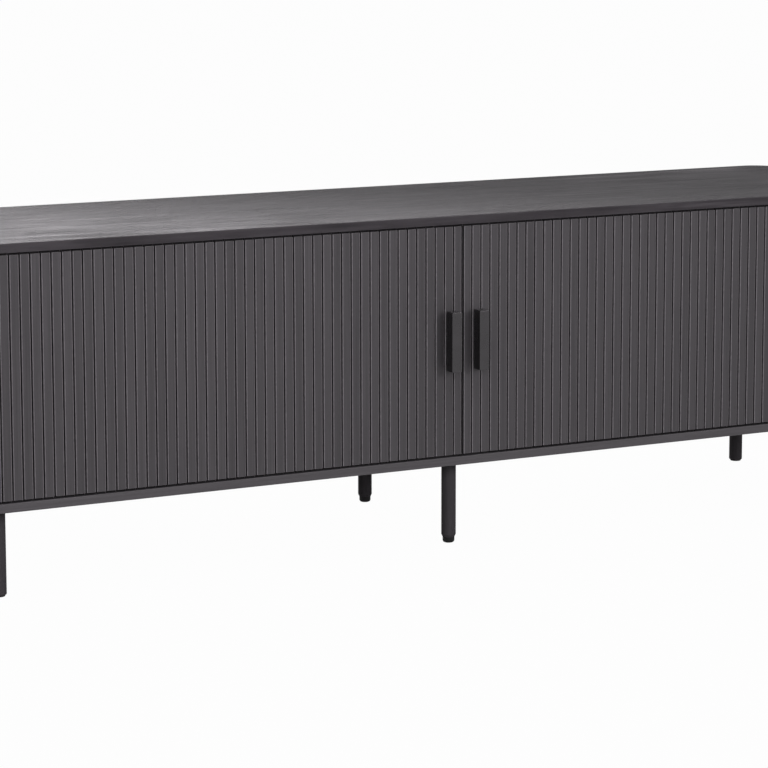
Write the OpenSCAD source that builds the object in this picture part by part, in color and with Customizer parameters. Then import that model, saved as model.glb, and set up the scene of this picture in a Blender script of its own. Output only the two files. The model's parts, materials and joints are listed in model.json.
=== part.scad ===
// Low sideboard with two tambour doors, rounded corners and six round legs.
// Millimetres. The floor is Z = 0, +X runs to the right and +Y to the back.

/* [Body] */
// Overall width of the top and bottom boards
body_w = 1800; // [1500:10:2100]
// Overall depth of the top and bottom boards
body_d = 454; // [430:2:500]
// Height of the top surface above the floor
body_h = 570; // [500:1:640]
// Thickness of the top and bottom boards
board_t = 15; // [15:0.5:20]
// Corner radius of the boards
corner_r = 55; // [55:1:60]
// Clear height from the floor to the underside of the body
leg_h = 145.5; // [120:0.5:180]

/* [Tambour doors] */
// Distance from one slat to the next
slat_pitch = 17.16; // [16:0.02:19]
// Width of the groove between two slats
slat_gap = 2.2; // [1.6:0.1:3]
// Thickness of the visible part of a slat
slat_face_t = 5; // [4:0.5:6]
// Thickness of the tongue that runs in the board grooves
slat_tongue_t = 4; // [3:0.5:5]
// How far the slat faces stand behind the board edge
slat_recess = 2; // [1:0.5:3]
// Shadow gap above and below the slat faces
slat_end_gap = 3.5; // [1.5:0.5:4]
// Thickness of the canvas that the slats are glued to
canvas_t = 0.8; // [0.6:0.1:1]
// Slats milled on each stiff lead stile
stile_slats = 3; // [3:1:4]
// Slats that wait behind the side shell while the door is shut
tail_slats = 5; // [3:1:6]
// Width of the curtain once it is stored next to the corner
stored_w = 12; // [8:1:20]

/* [Handles] */
// Width of the handle bar
handle_w = 18; // [14:1:20]
// Depth of the handle bar
handle_bar_d = 22; // [16:1:26]
// Height of the handle bar
handle_len = 101; // [80:1:140]
// How far the middle of the bar stands above the middle of the doors
handle_up = 3; // [-60:1:60]
// Gap between the bar and the slats
handle_gap = 8; // [6:1:12]
// Diameter of the two posts behind the bar
handle_post_d = 10; // [8:1:12]

/* [Legs] */
// Diameter of the round legs
leg_d = 25; // [24:0.5:34]
// Distance of the outer legs from the middle of the body
leg_x = 800; // [500:1:800]
// Distance of the front legs from the front edge
leg_front = 54; // [50:1:90]
// Distance of the back legs from the back edge
leg_back = 64; // [50:1:90]
// Diameter of the levelling foot
foot_d = 20.5; // [18:0.5:22]
// Height of the levelling foot
foot_h = 10; // [8:1:12]
// How far a levelling foot can be wound out
foot_travel = 12; // [6:1:14]

/* [Interior] */
// Thickness of the divider, the inner sides and the shelves
panel_t = 15; // [15:0.5:18]
// Thickness of the back panels
back_t = 6; // [5:0.5:8]
// Thickness of the bent side shells
shell_t = 12; // [10:0.5:12]
// Height of the shelf's underside above the bottom board
shelf_z = 186; // [120:1:240]

/* [Hidden] */

$fn = 48;
eps = 1; // overshoot of a cutting body past the face it opens

STAIN = [0.27, 0.26, 0.27];
STAIN_DARK = [0.20, 0.19, 0.20];
INNER = [0.16, 0.155, 0.16];
METAL_BLACK = [0.22, 0.215, 0.22];
ZINC = [0.68, 0.69, 0.70];
BEECH = [0.76, 0.62, 0.44];
CANVAS = [0.12, 0.12, 0.12];
PLASTIC = [0.08, 0.08, 0.08];

// Body
half_w = body_w / 2;
z_floor = leg_h + board_t;      // inside floor
z_ceiling = body_h - board_t;   // inside ceiling
inside_h = z_ceiling - z_floor;

// Slats. The track is the line that the slats' outer faces follow.
slat_w = slat_pitch - slat_gap;
slat_t = slat_face_t + slat_tongue_t;
slat_chamfer = 1;
tongue_reach = 4.5;             // tongue length inside a board groove
groove_depth = 6;
groove_play = 1;                // room each side of the tongue
shell_inset = 1;                // shells and back panel stand this far inside the board edge
run_gap = 2;                    // room between the curtain and a shell
track_r = corner_r - slat_recess;
track_x = half_w - shell_inset - shell_t - run_gap;
track_back = body_d - shell_inset - shell_t - run_gap;
arc_x = track_x - track_r;      // where the front run turns into the corner
arc_front = slat_recess + track_r;
arc_back = track_back - track_r;
canvas_r = track_r - slat_t;    // the glue line bends round this radius
arc_len = canvas_r * PI / 2;
canvas_tail = 8;                // canvas past the last slat
groove_spare = 10;              // groove past the last slat of an open door

// Slat numbers, counted from the joint of the two doors
last_front_slat = floor(arc_x / slat_pitch);
first_corner_slat = last_front_slat + 1;
last_corner_slat = floor((arc_x + arc_len) / slat_pitch) + 1 + tail_slats;
stile_end = stile_slats * slat_pitch - slat_gap / 2;
stored_from = last_front_slat * slat_pitch;
door_travel = stored_from - stile_slats * slat_pitch - stored_w;
canvas_end = last_corner_slat * slat_pitch + canvas_tail;
side_len = arc_back - arc_front;
back_run = canvas_end + door_travel - (arc_x + 2 * arc_len + side_len);
groove_end_x = arc_x - back_run - groove_spare;

// Lead stile
stile_start = 1;                // half the joint between the doors
stile_lip = 2.5;                // the visible edge stands back a little further
stile_web = 1.5;                // wood left under the milled grooves
backing_t = 6;
backing_end = 40;
core_margin = 1;                // the full-thickness core stops this far from the boards
behind_margin = 4;              // the backing and the canvas stop this far from the boards
canvas_play = 0.5;              // room between the backing and the canvas
stop_half = 4;                  // half the width of a centre stop
stop_play = 1.5;
stile_tongue_start = stop_half + stop_play;

// Handles
handle_reach = handle_gap + handle_bar_d;
handle_out = handle_reach - slat_recess;
handle_x = 1.5 * slat_pitch;    // the middle of the second slat
handle_z = (z_floor + z_ceiling) / 2 + handle_up;
post_inset = 17;                // from the end of the bar to the middle of a post
post_spread = handle_len / 2 - post_inset;
screw_r = 2;
screw_head_r = 4;
screw_head_h = 2.5;
screw_in_bar = 8;

// The box is centred on Y with the handles counted in
front_y = (handle_out - body_d) / 2;

// Interior, all measured from the front edge
inner_side_x = half_w - 34;     // outer face of an inner side
PANEL_X = [-inner_side_x + panel_t / 2, 0, inner_side_x - panel_t / 2];
inner_front = 33;
inner_back_y = arc_back + 16;   // front face of the inner back
divider_front = 22;
shelf_front = 36;
shelf_play = 1;
shelf_back_gap = 4;
shell_front_gap = 3;            // from the end of the front corner to the shell

// Back panel
rebate = back_t + shell_inset;  // depth of the steps that take the panel
rebate_h = 10;                  // height of the steps
back_half_w = half_w - corner_r;

// Hardware
dowel_r = 4;
dowel_in_board = 10;
dowel_in_panel = 20;
dowel_y = [95, 205, 345];
cam_r = 7.5;
cam_depth = 12;
cam_z = 24;                     // from the board face to the cam's centre
cam_y = [135, 300];
cam_bolt_r = 3;
cam_bolt_tip = 3;               // bolt past the cam's centre
cam_bore_r = 3.5;
cam_bore_tip = 4;
cam_slot = [1.5, 10, 2];        // depth, length and width of the cross for the screwdriver
cam_thread_r = 2.5;
cam_thread = 10;
shell_dowel_r = 3;
shell_dowel_half = 10;
shell_dowel_y = [110, 240, 370];
pin_r = 2.5;
pin_in_panel = 7;
pin_out = 9;
pin_y = [80, 350];
pin_step = 32;
panel_screw_r = 1.6;
panel_screw_head_r = 3.4;
panel_screw_head_h = 3;
panel_screw_len = 16;
back_screw_step = inner_side_x / 4;
inner_screw_z = 50;             // from a board to the nearest screw of the inner back
bolt_r = 4;
bolt_in_leg = 30;
bolt_in_board = 11;
insert_r = 5;
insert_h = 12;
foot_insert_r = 6;
foot_insert_h = 15;
stem_r = 4;
stem_play = 0.2;
stem_tip = 3;                   // stem left above the insert when the foot is wound out
stem_room = 3;                  // hole past the stem when the foot is wound in
stem_h = foot_insert_h + foot_travel + stem_tip;
foot_edge = 4;
leg_edge = 1.5;                 // chamfer round the end of an outer leg
foot_step = 0.25;               // the end of a middle leg stands this far past the foot's rim
foot_taper_h = 4.5;             // height over which a middle leg narrows to its end
glide_d = 20;
glide_h = 2;
glide_pin_r = 1.2;
glide_pin_h = 12;

LEG_X = [-leg_x, 0, leg_x];
leg_y_front = front_y + leg_front;
leg_y_back = front_y + body_d - leg_back;

// ---------- shared shapes ----------

// Moves children from the front edge of the boards into the row's frame
module from_front() {
    translate([0, front_y, 0]) children();
}

// Children as they are for the right side, mirrored for the left
module on_side(side) {
    mirror([side < 0 ? 1 : 0, 0, 0]) children();
}

module both_sides() {
    for (side = [-1, 1]) on_side(side) children();
}

// Outline of a board: a rectangle with round corners
module board_2d() {
    translate([-half_w + corner_r, 0]) square([body_w - 2 * corner_r, body_d]);
    translate([-half_w, corner_r]) square([body_w, body_d - 2 * corner_r]);
    for (x = [-1, 1], y = [corner_r, body_d - corner_r])
        translate([x * (half_w - corner_r), y]) circle(corner_r, $fn = 96);
}

// Quarter of a ring round the origin, in the +X quadrant in front (-1) or behind (1)
module quarter_ring_2d(r_in, r_out, back) {
    intersection() {
        difference() {
            circle(r_out, $fn = 96);
            circle(r_in, $fn = 96);
        }
        translate([0, back > 0 ? 0 : -r_out]) square([r_out, r_out]);
    }
}

// Strip of the right door's track, from depth a to depth b behind the slat faces
module track_front_2d(a, b, x_from) {
    translate([x_from, slat_recess + a]) square([arc_x - x_from, b - a]);
    translate([arc_x, arc_front]) quarter_ring_2d(track_r - b, track_r - a, -1);
}

module track_side_2d(a, b, y_to) {
    translate([track_x - b, arc_front]) square([b - a, y_to - arc_front]);
}

module track_back_2d(a, b, x_to) {
    translate([arc_x, arc_back]) quarter_ring_2d(track_r - b, track_r - a, 1);
    translate([x_to, track_back - b]) square([arc_x - x_to, b - a]);
}

// The routed groove that guides both doors, as a cutting body that starts at z
module groove_cut(z) {
    a = slat_face_t - groove_play;
    b = slat_t + groove_play;
    from_front() translate([0, 0, z]) linear_extrude(groove_depth + eps) both_sides() {
        track_front_2d(a, b, 0);
        track_side_2d(a, b, arc_back);
        track_back_2d(a, b, groove_end_x);
    }
}

// Point on the track at length s from the joint: [x, y, turn]
function track_at(s) =
    s <= arc_x ? [s, slat_recess, 0] :
    s <= arc_x + arc_len ?
        let (turn = (s - arc_x) / canvas_r * 180 / PI)
        [arc_x + track_r * sin(turn), arc_front - track_r * cos(turn), turn] :
    [track_x, arc_front + s - arc_x - arc_len, 90];

// Visible part of a slat between two X values, its front face on Y = 0
module slat_face(x_from, x_to) {
    c = slat_chamfer;
    translate([0, 0, z_floor + slat_end_gap])
        linear_extrude(inside_h - 2 * slat_end_gap)
            polygon([
                [x_from, slat_face_t], [x_from, c], [x_from + c, 0],
                [x_to - c, 0], [x_to, c], [x_to, slat_face_t]
            ]);
}

// Tongue that runs from the lower groove to the upper one
module slat_tongue(x_from, x_to) {
    translate([x_from, slat_face_t, z_floor - tongue_reach])
        cube([x_to - x_from, slat_tongue_t, inside_h + 2 * tongue_reach]);
}

module slat() {
    slat_face(-slat_w / 2, slat_w / 2);
    slat_tongue(-slat_w / 2, slat_w / 2);
}

module slat_run(side, first, last) {
    on_side(side) from_front() for (k = [first : last]) {
        at = track_at((k - 0.5) * slat_pitch);
        translate([at[0], at[1], 0]) rotate(at[2]) slat();
    }
}

module carcass_board(z) {
    from_front() translate([0, 0, z]) linear_extrude(board_t) board_2d();
}

// Step along a board's back edge that takes the back panel
module rebate_cut(z_from) {
    translate([-back_half_w, front_y + body_d - rebate, z_from])
        cube([2 * back_half_w, rebate + eps, rebate_h + eps]);
}

// Screw with a flat head, its head on the origin and its tip towards -Y
module flat_head_screw() {
    rotate([90, 0, 0]) {
        cylinder(panel_screw_head_h, panel_screw_head_r, panel_screw_r);
        translate([0, 0, panel_screw_head_h])
            cylinder(panel_screw_len - panel_screw_head_h, r = panel_screw_r);
    }
}

// ---------- hardware ----------

module carcass_dowels() {
    color(BEECH) from_front() for (x = PANEL_X, y = dowel_y) {
        translate([x, y, z_floor - dowel_in_board])
            cylinder(dowel_in_board + dowel_in_panel, r = dowel_r);
        translate([x, y, z_ceiling - dowel_in_panel])
            cylinder(dowel_in_board + dowel_in_panel, r = dowel_r);
    }
}

module shell_dowels() {
    color(BEECH) from_front() both_sides()
        for (y = shell_dowel_y, z = [z_floor, z_ceiling])
            translate([half_w - shell_inset - shell_t / 2, y, z - shell_dowel_half])
                cylinder(2 * shell_dowel_half, r = shell_dowel_r);
}

// Children at each cam: in the right-hand face of a panel, one near each board.
// The bottom cams are upright, the top ones are turned over.
module at_cams() {
    for (panel = [[-inner_side_x, -1], [panel_t / 2, 1], [inner_side_x, 1]], y = cam_y) {
        translate([panel[0], front_y + y, z_floor]) mirror([panel[1] < 0 ? 1 : 0, 0, 0]) children();
        translate([panel[0], front_y + y, z_ceiling]) mirror([panel[1] < 0 ? 1 : 0, 0, 0])
            mirror([0, 0, 1]) children();
    }
}

module cam_pocket() {
    translate([-cam_depth, 0, cam_z]) rotate([0, 90, 0]) cylinder(cam_depth, r = cam_r);
}

module cam_bore() {
    translate([-panel_t / 2, 0, 0]) cylinder(cam_z + cam_bore_tip, r = cam_bore_r);
}

module cam_thread_hole() {
    translate([-panel_t / 2, 0, -cam_thread]) cylinder(cam_thread, r = cam_thread_r);
}

module cam_discs() {
    color(ZINC) at_cams() difference() {
        cam_pocket();
        cam_bore();
        for (turn = [0, 90])
            translate([-cam_slot[0], 0, cam_z]) rotate([turn, 0, 0])
                translate([0, -cam_slot[1] / 2, -cam_slot[2] / 2])
                    cube([cam_slot[0] + eps, cam_slot[1], cam_slot[2]]);
    }
}

module cam_bolts() {
    color(ZINC) at_cams() {
        cam_thread_hole();
        translate([-panel_t / 2, 0, 0]) cylinder(cam_z + cam_bolt_tip, r = cam_bolt_r);
    }
}

module at_shelf_pins() {
    for (x = [-inner_side_x + panel_t, panel_t / 2], y = pin_y)
        translate([x, front_y + y, z_floor + shelf_z - pin_r]) rotate([0, 90, 0]) children();
    for (x = [inner_side_x - panel_t, -panel_t / 2], y = pin_y)
        translate([x, front_y + y, z_floor + shelf_z - pin_r]) rotate([0, -90, 0]) children();
}

module shelf_pins() {
    color(ZINC) at_shelf_pins() translate([0, 0, -pin_in_panel])
        cylinder(pin_in_panel + pin_out, r = pin_r);
}

// Rows of holes, so that the shelves can be set higher or lower
module pin_holes() {
    for (step = [-2 : 2]) translate([0, 0, step * pin_step])
        at_shelf_pins() translate([0, 0, -pin_in_panel]) cylinder(pin_in_panel + eps, r = pin_r);
}

module panel_screws() {
    color(PLASTIC) {
        for (k = [-3 : 3], z = [z_floor - rebate_h / 2, z_ceiling + rebate_h / 2])
            translate([k * back_screw_step, front_y + body_d - shell_inset, z]) flat_head_screw();
        for (x = PANEL_X)
            for (z = [z_floor + inner_screw_z, (z_floor + z_ceiling) / 2, z_ceiling - inner_screw_z])
                translate([x, front_y + inner_back_y + back_t, z]) flat_head_screw();
    }
}

module groove_stops() {
    color(PLASTIC) from_front() for (z = [z_floor - groove_depth, z_ceiling])
        translate([-stop_half, slat_recess + slat_face_t - groove_play, z])
            cube([2 * stop_half, slat_tongue_t + 2 * groove_play, groove_depth]);
}

module at_legs() {
    for (x = LEG_X, y = [leg_y_front, leg_y_back]) translate([x, y, 0]) children();
}

module leg_inserts() {
    color(ZINC) at_legs() translate([0, 0, leg_h]) difference() {
        cylinder(insert_h, r = insert_r);
        cylinder(bolt_in_board, r = bolt_r);
    }
}

module leg_bolts() {
    color(ZINC) at_legs() translate([0, 0, leg_h - bolt_in_leg])
        cylinder(bolt_in_leg + bolt_in_board, r = bolt_r);
}

module foot_inserts() {
    color(ZINC) for (y = [leg_y_front, leg_y_back]) translate([0, y, foot_h]) difference() {
        cylinder(foot_insert_h, r = foot_insert_r);
        translate([0, 0, -eps]) cylinder(foot_insert_h + 2 * eps, r = stem_r + stem_play);
    }
}

module at_outer_legs() {
    for (x = [-leg_x, leg_x], y = [leg_y_front, leg_y_back]) translate([x, y, 0]) children();
}

module leg_glides() {
    color(PLASTIC) at_outer_legs() {
        cylinder(glide_h, d = glide_d);
        translate([0, 0, glide_h]) cylinder(glide_pin_h, r = glide_pin_r);
    }
}

// ---------- body ----------

module bottom_board() {
    color(STAIN) difference() {
        carcass_board(leg_h);
        groove_cut(z_floor - groove_depth);
        rebate_cut(z_floor - rebate_h);
        carcass_dowels();
        shell_dowels();
        at_cams() cam_thread_hole();
        at_legs() translate([0, 0, leg_h - eps]) cylinder(insert_h + eps, r = insert_r);
        panel_screws();
    }
}

module top_board() {
    color(STAIN) difference() {
        carcass_board(z_ceiling);
        groove_cut(z_ceiling - eps);
        rebate_cut(z_ceiling - eps);
        carcass_dowels();
        shell_dowels();
        at_cams() cam_thread_hole();
        panel_screws();
    }
}

// Bent shell: straight along the side, then round the back corner
module side_shell(side) {
    outer_r = corner_r - shell_inset;
    color(STAIN_DARK) difference() {
        on_side(side) from_front() translate([0, 0, z_floor]) linear_extrude(inside_h) {
            translate([half_w - shell_inset - shell_t, arc_front + shell_front_gap])
                square([shell_t, body_d - corner_r - arc_front - shell_front_gap]);
            translate([half_w - corner_r, body_d - corner_r])
                quarter_ring_2d(outer_r - shell_t, outer_r, 1);
        }
        shell_dowels();
    }
}

module side_shell_left() { side_shell(-1); }
module side_shell_right() { side_shell(1); }

module upright(x_from, y_from) {
    color(INNER) difference() {
        translate([x_from, front_y + y_from, z_floor])
            cube([panel_t, inner_back_y - y_from, inside_h]);
        carcass_dowels();
        at_cams() {
            cam_pocket();
            cam_bore();
        }
        pin_holes();
        panel_screws();
    }
}

module inner_side_left() { upright(-inner_side_x, inner_front); }
module inner_side_right() { upright(inner_side_x - panel_t, inner_front); }
module divider() { upright(-panel_t / 2, divider_front); }

module shelf(side) {
    w = inner_side_x - panel_t - panel_t / 2 - 2 * shelf_play;
    color(INNER) on_side(side)
        translate([panel_t / 2 + shelf_play, front_y + shelf_front, z_floor + shelf_z])
            cube([w, inner_back_y - shelf_front - shelf_back_gap, panel_t]);
}

module shelf_left() { shelf(-1); }
module shelf_right() { shelf(1); }

module inner_back() {
    color(INNER) difference() {
        translate([-inner_side_x, front_y + inner_back_y, z_floor])
            cube([2 * inner_side_x, back_t, inside_h]);
        panel_screws();
    }
}

module back_panel() {
    color(STAIN_DARK) difference() {
        translate([-back_half_w, front_y + body_d - rebate, z_floor - rebate_h])
            cube([2 * back_half_w, back_t, inside_h + 2 * rebate_h]);
        panel_screws();
    }
}

// ---------- tambour doors ----------

module front_slats_left() { color(STAIN) slat_run(-1, stile_slats + 1, last_front_slat); }
module front_slats_right() { color(STAIN) slat_run(1, stile_slats + 1, last_front_slat); }
module corner_slats_left() { color(STAIN) slat_run(-1, first_corner_slat, last_corner_slat); }
module corner_slats_right() { color(STAIN) slat_run(1, first_corner_slat, last_corner_slat); }

module canvas(side) {
    a = slat_t;
    b = slat_t + canvas_t;
    color(CANVAS) on_side(side) from_front() translate([0, 0, z_floor + behind_margin])
        linear_extrude(inside_h - 2 * behind_margin) {
            track_front_2d(a, b, backing_end + canvas_play);
            track_side_2d(a, b, arc_front + canvas_end - arc_x - arc_len);
        }
}

module canvas_left() { canvas(-1); }
module canvas_right() { canvas(1); }

module handle_screw_shanks(from, to) {
    for (z = [-post_spread, post_spread])
        translate([handle_x, to, handle_z + z]) rotate([90, 0, 0])
            cylinder(to - from, r = screw_r);
}

module lead_stile(side) {
    color(STAIN) on_side(side) from_front() translate([0, slat_recess, 0]) difference() {
        union() {
            slat_face(stile_lip, slat_pitch - slat_gap / 2);
            for (k = [2 : stile_slats])
                slat_face((k - 1) * slat_pitch + slat_gap / 2, k * slat_pitch - slat_gap / 2);
            translate([stile_lip, slat_face_t - stile_web, z_floor + slat_end_gap])
                cube([stile_end - stile_lip, stile_web, inside_h - 2 * slat_end_gap]);
            slat_tongue(stile_tongue_start, stile_end);
            translate([stile_start, slat_face_t, z_floor + core_margin])
                cube([stile_end - stile_start, slat_tongue_t, inside_h - 2 * core_margin]);
            translate([stile_start, slat_t, z_floor + behind_margin])
                cube([backing_end - stile_start, backing_t, inside_h - 2 * behind_margin]);
        }
        handle_screw_shanks(-eps, slat_t + backing_t + eps);
    }
}

module lead_stile_left() { lead_stile(-1); }
module lead_stile_right() { lead_stile(1); }

// The bar stands off the slats on two posts
module handle(side) {
    color(METAL_BLACK) on_side(side) from_front() translate([0, slat_recess, 0]) difference() {
        union() {
            translate([handle_x - handle_w / 2, -handle_reach, handle_z - handle_len / 2])
                cube([handle_w, handle_bar_d, handle_len]);
            for (z = [-post_spread, post_spread])
                translate([handle_x, 0, handle_z + z]) rotate([90, 0, 0])
                    cylinder(handle_gap + eps, d = handle_post_d);
        }
        handle_screw_shanks(-handle_gap - screw_in_bar, eps);
    }
}

module handle_left() { handle(-1); }
module handle_right() { handle(1); }

module handle_screws(side) {
    head_y = slat_t + backing_t;
    color(ZINC) on_side(side) from_front() translate([0, slat_recess, 0]) {
        handle_screw_shanks(-handle_gap - screw_in_bar, head_y);
        for (z = [-post_spread, post_spread])
            translate([handle_x, head_y + screw_head_h, handle_z + z]) rotate([90, 0, 0])
                cylinder(screw_head_h, r = screw_head_r);
    }
}

module handle_screws_left() { handle_screws(-1); }
module handle_screws_right() { handle_screws(1); }

// ---------- legs and feet ----------

// Turned leg that narrows to a radius over a height at its lower end
module leg_wood(x, y, z_from, end_r, end_h) {
    r = leg_d / 2;
    translate([x, y, 0]) rotate_extrude($fn = 64)
        polygon([[0, z_from], [end_r, z_from], [r, z_from + end_h], [r, leg_h], [0, leg_h]]);
}

module outer_leg(x, y) {
    color(STAIN_DARK) difference() {
        leg_wood(x, y, glide_h, leg_d / 2 - leg_edge, leg_edge);
        leg_bolts();
        leg_glides();
    }
}

module middle_leg(y) {
    color(STAIN_DARK) difference() {
        leg_wood(0, y, foot_h, foot_d / 2 + foot_step, foot_taper_h);
        leg_bolts();
        translate([0, y, foot_h - eps]) {
            cylinder(foot_insert_h + eps, r = foot_insert_r);
            cylinder(stem_h + stem_room + eps, r = stem_r + stem_play);
        }
    }
}

module leg_front_left() { outer_leg(-leg_x, leg_y_front); }
module leg_front_centre() { middle_leg(leg_y_front); }
module leg_front_right() { outer_leg(leg_x, leg_y_front); }
module leg_back_left() { outer_leg(-leg_x, leg_y_back); }
module leg_back_centre() { middle_leg(leg_y_back); }
module leg_back_right() { outer_leg(leg_x, leg_y_back); }

// Levelling foot: a round pad on a threaded stem
module levelling_foot(y) {
    r = foot_d / 2;
    color(PLASTIC) translate([0, y, 0]) {
        rotate_extrude() {
            square([r - foot_edge, foot_edge]);
            translate([0, foot_edge]) square([r, foot_h - foot_edge]);
            intersection() {
                translate([r - foot_edge, foot_edge]) circle(foot_edge);
                translate([r - foot_edge, 0]) square([foot_edge, foot_edge]);
            }
        }
        cylinder(foot_h + stem_h, r = stem_r);
    }
}

module foot_front() { levelling_foot(leg_y_front); }
module foot_back() { levelling_foot(leg_y_back); }

top_board();
bottom_board();
side_shell_left();
side_shell_right();
inner_side_left();
inner_side_right();
divider();
shelf_left();
shelf_right();
inner_back();
back_panel();
front_slats_left();
front_slats_right();
corner_slats_left();
corner_slats_right();
canvas_left();
canvas_right();
lead_stile_left();
lead_stile_right();
handle_left();
handle_right();
handle_screws_left();
handle_screws_right();
leg_front_left();
leg_front_centre();
leg_front_right();
leg_back_left();
leg_back_centre();
leg_back_right();
foot_front();
foot_back();
foot_inserts();
leg_glides();
leg_bolts();
leg_inserts();
shelf_pins();
carcass_dowels();
shell_dowels();
cam_discs();
cam_bolts();
panel_screws();
groove_stops();
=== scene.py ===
"""Dresses a packed sideboard with two tambour doors: rounded edges, wood grain, cloth and metal.

It adds a plain light stage and a camera. Laid out as a Blender add-on and run as a script. All lengths
are metres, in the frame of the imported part.
"""

import json
import math
import random

import bmesh
import bpy
from mathutils import Matrix, Quaternion, Vector

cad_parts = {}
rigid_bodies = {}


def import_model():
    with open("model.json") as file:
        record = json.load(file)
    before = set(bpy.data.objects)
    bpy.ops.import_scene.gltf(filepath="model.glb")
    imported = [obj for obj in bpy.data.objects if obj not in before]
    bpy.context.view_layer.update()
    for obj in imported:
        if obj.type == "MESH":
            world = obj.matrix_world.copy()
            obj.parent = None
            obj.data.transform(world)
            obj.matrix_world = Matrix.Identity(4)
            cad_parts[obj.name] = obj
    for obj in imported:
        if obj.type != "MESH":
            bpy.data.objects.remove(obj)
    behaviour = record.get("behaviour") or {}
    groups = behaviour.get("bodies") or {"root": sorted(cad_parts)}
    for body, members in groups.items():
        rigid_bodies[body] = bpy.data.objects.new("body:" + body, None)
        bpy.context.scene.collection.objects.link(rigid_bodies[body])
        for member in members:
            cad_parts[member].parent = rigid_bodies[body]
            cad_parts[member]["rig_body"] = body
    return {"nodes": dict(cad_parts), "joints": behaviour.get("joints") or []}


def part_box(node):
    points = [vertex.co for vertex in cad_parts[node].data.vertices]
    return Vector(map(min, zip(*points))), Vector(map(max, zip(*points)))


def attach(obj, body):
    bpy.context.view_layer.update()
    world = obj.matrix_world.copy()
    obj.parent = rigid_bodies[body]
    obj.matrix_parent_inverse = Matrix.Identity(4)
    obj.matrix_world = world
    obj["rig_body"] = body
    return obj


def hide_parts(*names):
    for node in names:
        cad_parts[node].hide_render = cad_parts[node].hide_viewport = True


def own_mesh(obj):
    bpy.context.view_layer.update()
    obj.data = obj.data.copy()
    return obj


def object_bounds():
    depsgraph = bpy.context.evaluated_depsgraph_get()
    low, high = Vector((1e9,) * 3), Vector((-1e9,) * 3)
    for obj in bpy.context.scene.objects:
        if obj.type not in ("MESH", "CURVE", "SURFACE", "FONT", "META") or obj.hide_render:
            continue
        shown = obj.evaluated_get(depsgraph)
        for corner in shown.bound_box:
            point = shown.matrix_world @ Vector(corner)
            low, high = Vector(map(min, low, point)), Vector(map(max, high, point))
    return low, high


bl_info = {
    "name": "Tambour sideboard",
    "version": (1, 0, 0),
    "blender": (4, 5, 0),
    "location": "3D View > Sidebar > Sideboard",
    "description": "Builds the finished pieces of a sideboard with two tambour doors round its fixed frame",
    "category": "Add Mesh",
}

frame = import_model()
CAD_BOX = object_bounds()
BOARD_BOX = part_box("top_board")
SIDES = {"left": -1, "right": 1}
MM = 0.001
X_AXIS, Y_AXIS, Z_AXIS = 0, 1, 2
WHITE = (1.0, 1.0, 1.0, 1.0)
BLACK = (0.0, 0.0, 0.0, 1.0)
BRIGHTEST = 3.0  # a stain's lightest place, as a multiple of its colour
GLOSS_TINT = (1.0, 0.955, 1.0, 1.0)
LAMP_TINT = (1.0, 0.96, 1.0)
BLACKENED = (0.09, 0.09, 0.095)
ZINC = (0.66, 0.68, 0.71)
CORNER_RADIUS = 55 * MM  # outer corners of the boards
CANVAS_BEND = 44 * MM  # inner face of the canvas round a corner
CANVAS_THICKNESS = 0.8 * MM
CANVAS_STEPS = 60  # parts of the front run of the canvas
FRONT_DEPTH = 3.0 * MM  # how far behind the foremost point a face still counts as a slat's front
CHAMFER = 1.8 * MM  # widest face that counts as a slat's chamfer
HALF_GAP = 1.1 * MM  # half the groove between two slats
# Smallest head area, arm, half width and depth of the cross recess of a screw
HANDLE_RECESS = (40 * MM * MM, 2.2 * MM, 0.55 * MM, 1.4 * MM)
PANEL_RECESS = (25 * MM * MM, 1.9 * MM, 0.45 * MM, 1.5 * MM)
PANEL_SCREW_EDGE = 0.1 * MM
PAD_HEIGHT, PAD_EDGE, PAD_TOP_EDGE, STEM_RADIUS = 10 * MM, 4 * MM, 0.5 * MM, 4 * MM
ROUND_STEPS = 32  # sides of a turned foot
RINGS_PER_THREAD = 6


# ---------- sizes and colours that a user would change ----------


class SideboardSizes(bpy.types.PropertyGroup):
    """Sizes of the details that the frame leaves to the finished pieces."""

    board_edge: bpy.props.FloatProperty(
        name="Board edge",
        description="Rounding of the edges of the top and bottom boards",
        default=1.2 * MM,
        unit="LENGTH",
    )
    slat_edge: bpy.props.FloatProperty(
        name="Slat edge",
        description="Rounding added to the chamfers of the slats",
        default=0.3 * MM,
        unit="LENGTH",
    )
    panel_edge: bpy.props.FloatProperty(
        name="Panel edge",
        description="Rounding of the edges of the shelves, uprights and shells",
        default=0.5 * MM,
        unit="LENGTH",
    )
    handle_edge: bpy.props.FloatProperty(
        name="Handle edge",
        description="Rounding of the edges of the handle bars",
        default=0.8 * MM,
        unit="LENGTH",
    )
    small_edge: bpy.props.FloatProperty(
        name="Small edge",
        description="Rounding of the edges of legs, feet and fittings",
        default=0.25 * MM,
        unit="LENGTH",
    )
    thread_pitch: bpy.props.FloatProperty(
        name="Thread pitch",
        description="Pitch of the thread on the stem of a levelling foot",
        default=1.25 * MM,
        unit="LENGTH",
    )
    thread_depth: bpy.props.FloatProperty(
        name="Thread depth",
        description="Depth of the thread on the stem of a levelling foot",
        default=0.7 * MM,
        unit="LENGTH",
    )
    weave_pitch: bpy.props.FloatProperty(
        name="Weave pitch",
        description="Distance between two threads of the canvas",
        default=0.9 * MM,
        unit="LENGTH",
    )


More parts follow.
